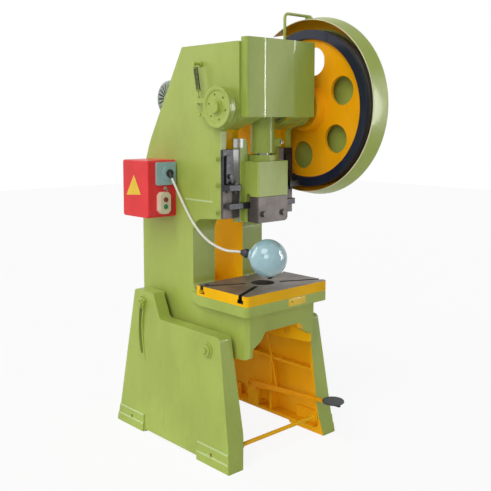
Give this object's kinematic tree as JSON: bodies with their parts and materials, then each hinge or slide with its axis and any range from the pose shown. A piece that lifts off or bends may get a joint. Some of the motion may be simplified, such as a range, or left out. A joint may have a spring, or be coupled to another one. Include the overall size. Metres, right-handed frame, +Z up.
{
  "type": "mechanical stamping press",
  "caption": "Open-back inclinable stamping press with a C-frame tilting on two cast legs, side flywheel under a guard, crank-driven slide, foot pedal, electric box and work lamp.",
  "frame": {"origin": "on the floor, at the centre of the four foundation bolt holes", "axes": "+X to the operator's right, towards the flywheel; +Y to the back; +Z up"},
  "size_m": [0.813, 1.221, 2.1775],
  "materials": {
    "green_paint": "satin enamel",
    "orange_paint": "satin enamel",
    "red_paint": "gloss enamel",
    "grey_paint": "satin enamel",
    "lamp_enamel": "enamelled glass",
    "cast_iron": "machined and oiled",
    "machined_steel": "machined",
    "dark_steel": "blackened",
    "bronze": "machined bush",
    "black_rubber": "matt",
    "lining": "friction lining",
    "black_plastic": "matt",
    "cream_plastic": "gloss",
    "red_plastic": "gloss",
    "green_plastic": "gloss"
  },
  "bodies": {
    "stand": {"leg_left": "green_paint", "leg_right": "green_paint", "tie_rods": "orange_paint", "pivot_pins": "machined_steel", "pedal_bracket": "orange_paint"},
    "frame": {"frame_casting": "green_paint", "bolster": "cast_iron", "frame_screws": "machined_steel", "lock_bolts": "machined_steel", "hood": "green_paint", "bearing_housings": "green_paint", "crank_bushes": "bronze", "brake_band": "green_paint", "brake_lining": "lining", "brake_spring": "machined_steel", "brake_posts": "machined_steel", "gibs": "dark_steel", "knockout_stops": "dark_steel", "flywheel_guard": "green_paint", "guard_stays": "green_paint", "motor_plate": "green_paint", "motor_housing": "grey_paint", "motor_fan_cover": "grey_paint", "terminal_box": "grey_paint", "control_box": "red_paint", "contactor": "black_plastic", "button_station": "cream_plastic", "lamp_base": "grey_paint", "gooseneck": "machined_steel", "lamp_socket": "black_plastic", "lamp_globe": "lamp_enamel", "v_belts": "black_rubber"},
    "crank": {"crankshaft": "machined_steel", "brake_drum": "green_paint", "end_plate": "machined_steel", "clutch_dog": "machined_steel"},
    "flywheel": {"flywheel": "orange_paint", "flywheel_bush": "bronze"},
    "conrod": {"connecting_rod": "green_paint", "rod_cap": "green_paint", "rod_bolts": "machined_steel", "ball_screw": "machined_steel"},
    "slide": {"ram": "green_paint", "shank_clamp": "cast_iron", "clamp_nuts": "machined_steel", "ball_cap": "green_paint"},
    "knockout": {"knockout_bar": "dark_steel"},
    "rotor": {"motor_shaft": "machined_steel", "motor_fan": "black_plastic", "motor_pulley": "cast_iron"},
    "pedal": {"pedal_lever": "orange_paint", "pedal_pad": "black_rubber"},
    "pull_link": {"pull_rod": "orange_paint"},
    "trip": {"trip_lever": "orange_paint"},
    "clutch_link": {"clutch_rod": "machined_steel"},
    "latch": {"clutch_latch": "dark_steel"},
    "start": {"start_button": "green_plastic"},
    "stop": {"stop_button": "red_plastic"},
    "switch": {"lamp_switch": "machined_steel"},
    "door": {"box_door": "red_paint"}
  },
  "joints": [
    {"name": "frame_tilt", "type": "hinge", "parent": "stand", "child": "frame", "pos_m": [0, -0.275, 0.548], "axis": [-1, 0, 0], "range_deg": [0, 26]},
    {"name": "crank_turn", "type": "hinge", "parent": "frame", "child": "crank", "pos_m": [0, -0.3, 1.7], "axis": [-1, 0, 0], "range_deg": [0, 180]},
    {"name": "conrod_swing", "type": "hinge", "parent": "crank", "child": "conrod", "pos_m": [0, -0.3, 1.7325], "axis": [-1, 0, 0], "range_deg": [-180, 0]},
    {"name": "ram_slide", "type": "slide", "parent": "frame", "child": "slide", "axis": [0, 0, -1], "range_m": [0, 0.065]},
    {"name": "knockout_lift", "type": "slide", "parent": "slide", "child": "knockout", "axis": [0, 0, 1], "range_m": [0, 0.038]},
    {"name": "flywheel_spin", "type": "hinge", "parent": "frame", "child": "flywheel", "pos_m": [0.342, -0.3, 1.7], "axis": [1, 0, 0], "continuous": true},
    {"name": "motor_spin", "type": "hinge", "parent": "frame", "child": "rotor", "pos_m": [0.342, 0.355, 1.758], "axis": [1, 0, 0], "continuous": true},
    {"name": "pedal_press", "type": "hinge", "parent": "stand", "child": "pedal", "pos_m": [0.245, 0.063, 0.162], "axis": [1, 0, 0], "range_deg": [0, 6], "stiffness_Nm_per_rad": 80, "springref_deg": -22.92},
    {"name": "pull_rod_swing", "type": "hinge", "parent": "pedal", "child": "pull_link", "pos_m": [0.258, -0.15, 0.182], "axis": [1, 0, 0], "range_deg": [-6, 0]},
    {"name": "trip_swing", "type": "hinge", "parent": "frame", "child": "trip", "pos_m": [0.247, 0.06, 0.6], "axis": [1, 0, 0], "range_deg": [0, 12.78]},
    {"name": "clutch_rod_slide", "type": "slide", "parent": "frame", "child": "clutch_link", "axis": [0, 0, -1], "range_m": [0, 0.01561]},
    {"name": "latch_swing", "type": "hinge", "parent": "frame", "child": "latch", "pos_m": [0.247, -0.13, 1.64], "axis": [-1, 0, 0], "range_deg": [0, 7.46]},
    {"name": "start_press", "type": "slide", "parent": "frame", "child": "start", "axis": [0, 1, 0], "range_m": [0, 0.004], "stiffness_N_per_m": 600, "springref_m": -0.003},
    {"name": "stop_press", "type": "slide", "parent": "frame", "child": "stop", "axis": [0, 1, 0], "range_m": [0, 0.004], "stiffness_N_per_m": 600, "springref_m": -0.003},
    {"name": "lamp_switch_flip", "type": "hinge", "parent": "frame", "child": "switch", "pos_m": [-0.31, 0.0875, 1.298], "axis": [-1, 0, 0], "range_deg": [0, 50]},
    {"name": "box_door_swing", "type": "hinge", "parent": "frame", "child": "door", "pos_m": [-0.373, 0.3206, 1.29], "axis": [0, 0, -1], "range_deg": [0, 110]}
  ],
  "couplings": [
    {"joint": "conrod_swing", "follows": "crank_turn", "ratio": -1},
    {"joint": "ram_slide", "follows": "crank_turn", "m_per_rad": 0.02069},
    {"joint": "motor_spin", "follows": "flywheel_spin", "ratio": 6.7},
    {"joint": "pull_rod_swing", "follows": "pedal_press", "ratio": -1},
    {"joint": "trip_swing", "follows": "pedal_press", "ratio": 2.13},
    {"joint": "clutch_rod_slide", "follows": "pedal_press", "m_per_rad": 0.1491},
    {"joint": "latch_swing", "follows": "pedal_press", "ratio": 1.2425}
  ]
}
